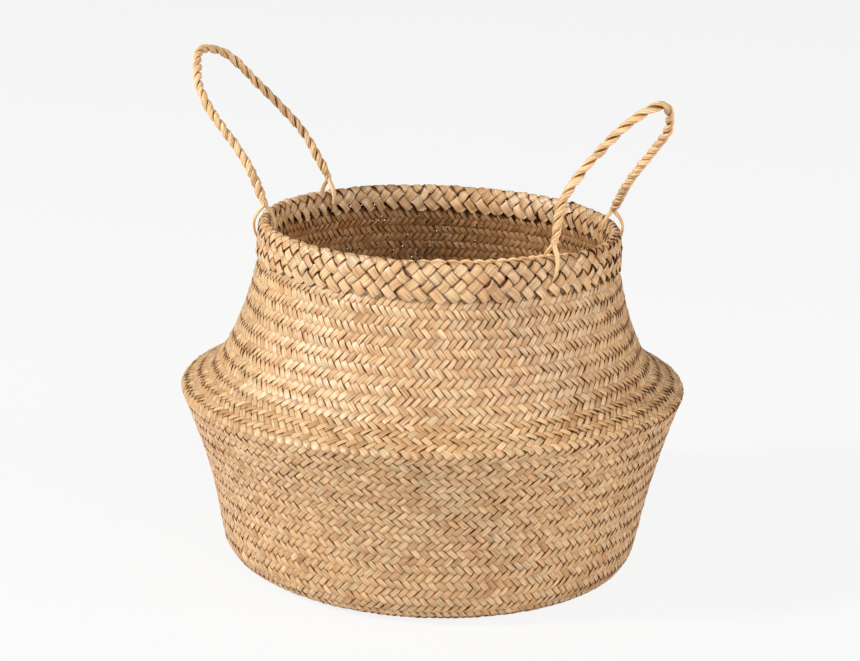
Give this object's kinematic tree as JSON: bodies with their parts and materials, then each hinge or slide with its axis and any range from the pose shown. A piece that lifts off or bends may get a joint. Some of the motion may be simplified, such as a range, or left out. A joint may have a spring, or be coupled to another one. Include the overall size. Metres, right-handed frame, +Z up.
{
  "type": "folding seagrass storage basket",
  "caption": "Belly-shaped open storage basket plaited from flattened seagrass strips, with a turned-down plaited rim and twisted rope handles; its upper half folds down inside the lower half.",
  "frame": {"origin": "centre of the base's underside, on the surface the basket stands on", "axes": "+Z up through the mouth; the handles stand at -X (left) and +X (right), and +Y points to the rear"},
  "size_m": [0.3316, 0.32, 0.3178],
  "materials": {
    "seagrass_lower": "dry flattened seagrass strips, satin",
    "seagrass_upper": "dry flattened seagrass strips, satin",
    "seagrass_rim": "dry flattened seagrass strips, satin",
    "seagrass_rope": "two-ply twisted seagrass rope, satin"
  },
  "bodies": {
    "lower_body": {"base_mat": "seagrass_lower", "lower_wall": "seagrass_lower"},
    "fold_1": {"fold_ring_1": "seagrass_upper"},
    "fold_2": {"fold_ring_2": "seagrass_upper"},
    "fold_3": {"fold_ring_3": "seagrass_upper"},
    "fold_4": {"fold_ring_4": "seagrass_upper"},
    "neck": {"neck_wall": "seagrass_upper", "rim_band_outer": "seagrass_rim", "rim_band_inner": "seagrass_rim", "rim_lip": "seagrass_rim", "left_strand_front": "seagrass_rope", "left_strand_rear": "seagrass_rope", "right_strand_front": "seagrass_rope", "right_strand_rear": "seagrass_rope"},
    "left_handle": {"left_ply_a": "seagrass_rope", "left_ply_b": "seagrass_rope", "left_knot_front": "seagrass_rope", "left_knot_rear": "seagrass_rope"},
    "right_handle": {"right_ply_a": "seagrass_rope", "right_ply_b": "seagrass_rope", "right_knot_front": "seagrass_rope", "right_knot_rear": "seagrass_rope"}
  },
  "joints": [
    {"name": "fold_neck", "type": "slide", "parent": "lower_body", "child": "neck", "axis": [0, 0, -1], "range_m": [0, 0.096]},
    {"name": "fold_follow_1", "type": "slide", "parent": "lower_body", "child": "fold_1", "axis": [0, 0, -1], "range_m": [0, 0.0046]},
    {"name": "fold_follow_2", "type": "slide", "parent": "lower_body", "child": "fold_2", "axis": [0, 0, -1], "range_m": [0, 0.0313]},
    {"name": "fold_follow_3", "type": "slide", "parent": "lower_body", "child": "fold_3", "axis": [0, 0, -1], "range_m": [0, 0.0658]},
    {"name": "fold_follow_4", "type": "slide", "parent": "lower_body", "child": "fold_4", "axis": [0, 0, -1], "range_m": [0, 0.0921]},
    {"name": "left_handle_bend", "type": "hinge", "parent": "neck", "child": "left_handle", "pos_m": [-0.10006, 0, 0.23], "axis": [0, -1, 0], "range_deg": [-94, 51]},
    {"name": "right_handle_bend", "type": "hinge", "parent": "neck", "child": "right_handle", "pos_m": [0.09561, 0, 0.23], "axis": [0, 1, 0], "range_deg": [-85, 60]}
  ],
  "couplings": [
    {"joint": "fold_follow_1", "follows": "fold_neck", "ratio": 0.046},
    {"joint": "fold_follow_2", "follows": "fold_neck", "ratio": 0.3235},
    {"joint": "fold_follow_3", "follows": "fold_neck", "ratio": 0.6836},
    {"joint": "fold_follow_4", "follows": "fold_neck", "ratio": 0.957}
  ]
}
